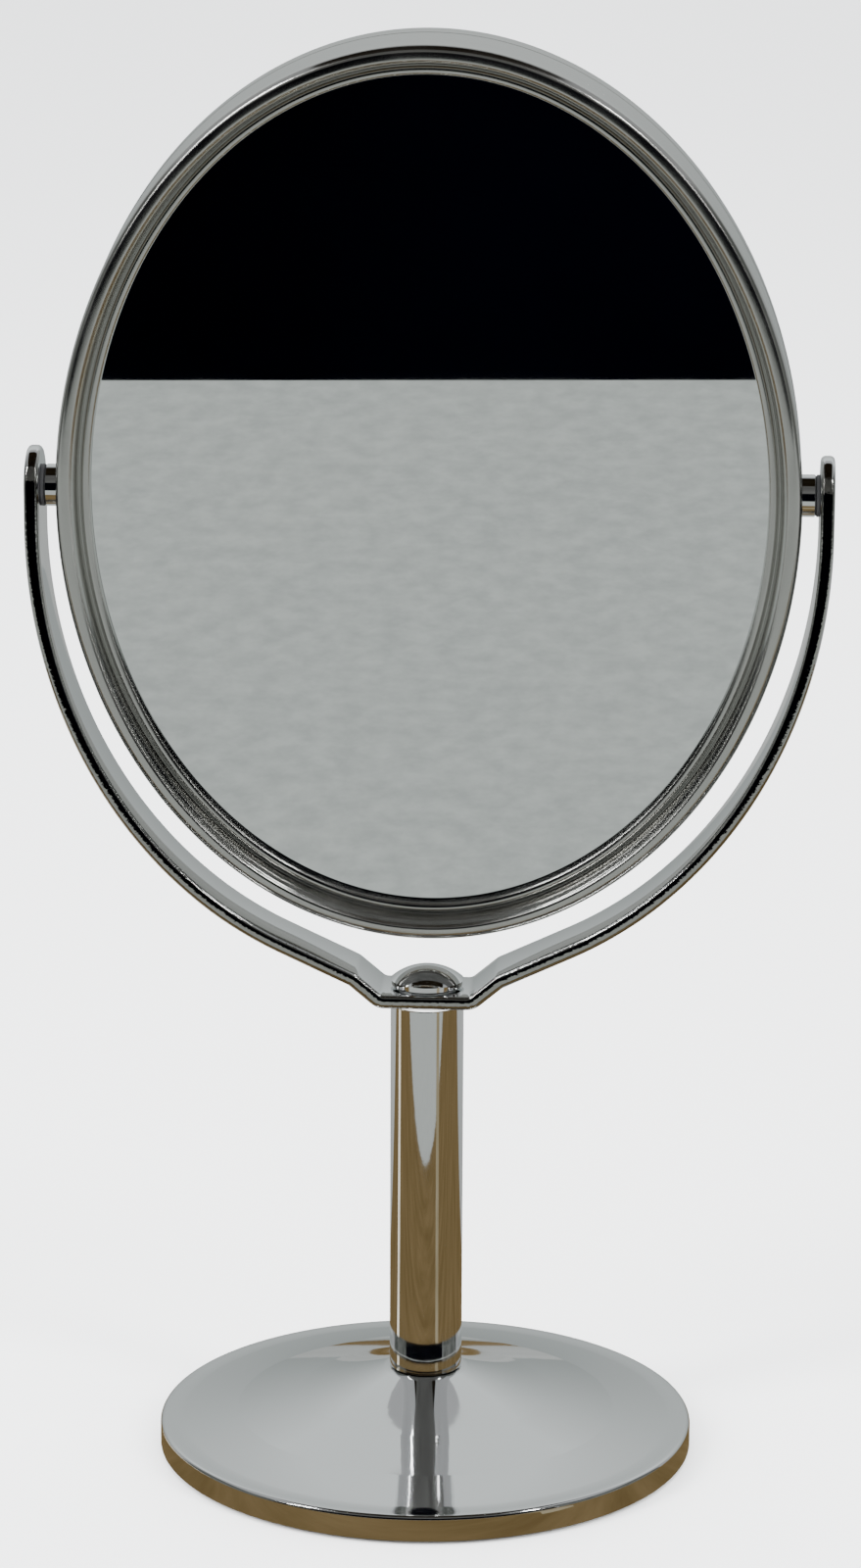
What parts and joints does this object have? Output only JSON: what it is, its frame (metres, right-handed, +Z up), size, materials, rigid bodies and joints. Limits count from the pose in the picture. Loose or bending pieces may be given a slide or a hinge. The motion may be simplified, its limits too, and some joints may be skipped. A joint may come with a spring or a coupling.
{
  "type": "extendable shaving mirror",
  "caption": "Free-standing oval shaving mirror: a double-sided head tilts in a bent strip yoke that swivels on a telescopic column over a round weighted base.",
  "frame": {"origin": "middle of the base's underside, where the mirror rests", "axes": "+Z up along the column, -Y towards the user whom the plain glass faces, +X along the tilt axis"},
  "size_m": [0.172, 0.118, 0.3135],
  "materials": {
    "polished_chrome": "bright polished chrome plate",
    "satin_chrome": "softly polished chrome plate",
    "mirror_glass": "silvered glass",
    "tray_plastic": "moulded",
    "cast_iron": "as cast, lacquered",
    "foam_rubber": "fine closed-cell foam",
    "zinc_steel": "zinc plated",
    "white_nylon": "moulded",
    "black_nylon": "moulded"
  },
  "bodies": {
    "base": {"base_shell": "polished_chrome", "base_weight": "cast_iron", "base_pad": "foam_rubber", "base_screw": "zinc_steel", "base_washer": "zinc_steel", "inner_post": "polished_chrome", "post_foot_plug": "zinc_steel", "post_guide_sleeve": "black_nylon", "post_top_cap": "black_nylon"},
    "column": {"column_tube": "polished_chrome", "column_lower_bush": "black_nylon", "column_top_plug": "zinc_steel", "swivel_washer": "white_nylon", "swivel_screw": "polished_chrome"},
    "yoke": {"yoke_strip": "polished_chrome", "swivel_spring_washer": "zinc_steel", "pivot_pin_left": "polished_chrome", "pivot_pin_right": "polished_chrome", "pivot_washer_left": "black_nylon", "pivot_washer_right": "black_nylon"},
    "head": {"front_bezel": "satin_chrome", "back_bezel": "satin_chrome", "rim_band": "satin_chrome", "core_tray": "tray_plastic", "front_glass": "mirror_glass", "magnifying_glass": "mirror_glass", "pivot_boss_left": "polished_chrome", "pivot_boss_right": "polished_chrome"}
  },
  "joints": [
    {"name": "column_extend", "type": "slide", "parent": "base", "child": "column", "axis": [0, 0, 1], "range_m": [0, 0.048]},
    {"name": "yoke_swivel", "type": "hinge", "parent": "column", "child": "yoke", "pos_m": [0, 0, 0.1028], "axis": [0, 0, 1], "continuous": true},
    {"name": "mirror_tilt", "type": "hinge", "parent": "yoke", "child": "head", "pos_m": [0, 0, 0.2157], "axis": [1, 0, 0], "continuous": true}
  ]
}
